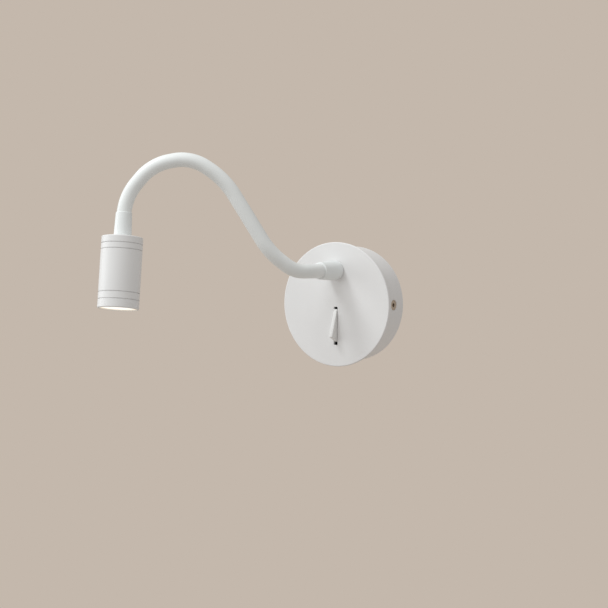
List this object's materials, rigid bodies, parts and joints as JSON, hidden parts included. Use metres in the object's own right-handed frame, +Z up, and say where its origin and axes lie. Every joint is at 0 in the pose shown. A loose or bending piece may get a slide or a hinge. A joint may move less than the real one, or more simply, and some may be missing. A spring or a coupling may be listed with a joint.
{
  "type": "bedside wall reading lamp",
  "caption": "Wall reading lamp: round base with a bar rocker switch, bendable sleeved arm and small cylindrical LED head.",
  "frame": {"origin": "centre of the base's back face, on the wall", "axes": "+X right along the wall seen from the room, +Y into the wall, +Z up; the lamp stands out towards -Y"},
  "size_m": [0.1769, 0.1868, 0.1703],
  "materials": {
    "base_white": "matte white powder coat on cast aluminium",
    "head_white": "satin white powder coat on turned aluminium",
    "sleeve_white": "smooth satin white silicone",
    "rocker_white": "fine satin white moulding",
    "bracket_steel": "zinc-plated stamped steel",
    "screw_steel": "nickel-plated, slightly warm",
    "core_steel": "wound galvanised steel",
    "contact_brass": "bright brass",
    "nut_steel": "zinc plated",
    "lead_black": "flexible two-core lead",
    "inner_plastic": "pale moulded nylon",
    "driver_plastic": "white moulded case",
    "board_green": "glass-fibre circuit board with parts",
    "led_aluminium": "white-faced aluminium circuit board",
    "chip_yellow": "phosphor-coated LED",
    "pad_grey": "heat-conducting pad",
    "reflector_white": "bright white moulding",
    "lens_glow": "frosted acrylic diffuser, lit warm white"
  },
  "bodies": {
    "base": {"wall_bracket": "bracket_steel", "earth_screw": "contact_brass", "base_housing": "base_white", "side_screws": "screw_steel", "terminal_block": "inner_plastic", "terminal_screws": "contact_brass", "driver_pad": "pad_grey", "driver_case": "driver_plastic", "driver_lid": "driver_plastic", "driver_board": "board_green", "switch_body": "inner_plastic", "switch_terminals": "contact_brass", "base_ferrule": "head_white", "base_washer": "nut_steel", "base_nut": "nut_steel", "arm_sleeve_1": "sleeve_white", "arm_core_1": "core_steel", "arm_lead_1": "lead_black"},
    "rocker": {"rocker_paddle": "rocker_white", "switch_plunger": "inner_plastic", "switch_spring": "core_steel"},
    "contact_blade": {"contact_seesaw": "contact_brass"},
    "arm_1": {"arm_sleeve_2": "sleeve_white", "arm_core_2": "core_steel", "arm_lead_2": "lead_black"},
    "arm_2": {"arm_sleeve_3": "sleeve_white", "arm_core_3": "core_steel", "arm_lead_3": "lead_black"},
    "arm_3": {"arm_sleeve_4": "sleeve_white", "arm_core_4": "core_steel", "arm_lead_4": "lead_black"},
    "arm_4": {"arm_sleeve_5": "sleeve_white", "arm_core_5": "core_steel", "arm_lead_5": "lead_black"},
    "arm_5": {"arm_sleeve_6": "sleeve_white", "arm_core_6": "core_steel", "arm_lead_6": "lead_black"},
    "arm_6": {"arm_sleeve_7": "sleeve_white", "arm_core_7": "core_steel", "arm_lead_7": "lead_black"},
    "head": {"arm_sleeve_8": "sleeve_white", "arm_core_8": "core_steel", "arm_lead_8": "lead_black", "head_ferrule": "head_white", "head_washer": "nut_steel", "head_nut": "nut_steel", "head_cap": "head_white", "head_housing": "head_white", "lead_grommet": "lead_black", "thermal_pad": "pad_grey", "led_board": "led_aluminium", "led_chip": "chip_yellow", "board_screws": "screw_steel", "reflector": "reflector_white", "lens": "lens_glow", "front_bezel": "head_white"}
  },
  "joints": [
    {"name": "arm_bend_1", "type": "hinge", "parent": "base", "child": "arm_1", "pos_m": [-0.003, -0.0695, 0.0275], "axis": [0.003, 0.0096, 0.9999], "range_deg": [-20, 20]},
    {"name": "arm_bend_2", "type": "hinge", "parent": "arm_1", "child": "arm_2", "pos_m": [-0.01235, -0.087, 0.0353], "axis": [-0.7833, 0.6217, 0], "range_deg": [-20, 20]},
    {"name": "arm_bend_3", "type": "hinge", "parent": "arm_2", "child": "arm_3", "pos_m": [-0.02585, -0.09975, 0.057], "axis": [0.7101, 0.4717, 0.5227], "range_deg": [-20, 20]},
    {"name": "arm_bend_4", "type": "hinge", "parent": "arm_3", "child": "arm_4", "pos_m": [-0.04, -0.1095, 0.085], "axis": [-0.5812, 0.8137, 0], "range_deg": [-20, 20]},
    {"name": "arm_bend_5", "type": "hinge", "parent": "arm_4", "child": "arm_5", "pos_m": [-0.0576, -0.122, 0.1078], "axis": [0.458, 0.324, 0.8278], "range_deg": [-20, 20]},
    {"name": "arm_bend_6", "type": "hinge", "parent": "arm_5", "child": "arm_6", "pos_m": [-0.0807, -0.13825, 0.11375], "axis": [-0.5735, 0.8192, 0], "range_deg": [-20, 20]},
    {"name": "arm_bend_7", "type": "hinge", "parent": "arm_6", "child": "head", "pos_m": [-0.10255, -0.15225, 0.0982], "axis": [-0.6662, -0.3741, 0.6451], "range_deg": [-20, 20]},
    {"name": "rocker_tip", "type": "hinge", "parent": "base", "child": "rocker", "pos_m": [0, -0.0246, -0.0173], "axis": [1, 0, 0], "range_deg": [0, 37.4]},
    {"name": "contact_tip", "type": "hinge", "parent": "base", "child": "contact_blade", "pos_m": [0, -0.01823, -0.0173], "axis": [1, 0, 0], "range_deg": [-12.4, 0]}
  ],
  "couplings": [
    {"joint": "contact_tip", "follows": "rocker_tip", "ratio": -0.32086}
  ]
}
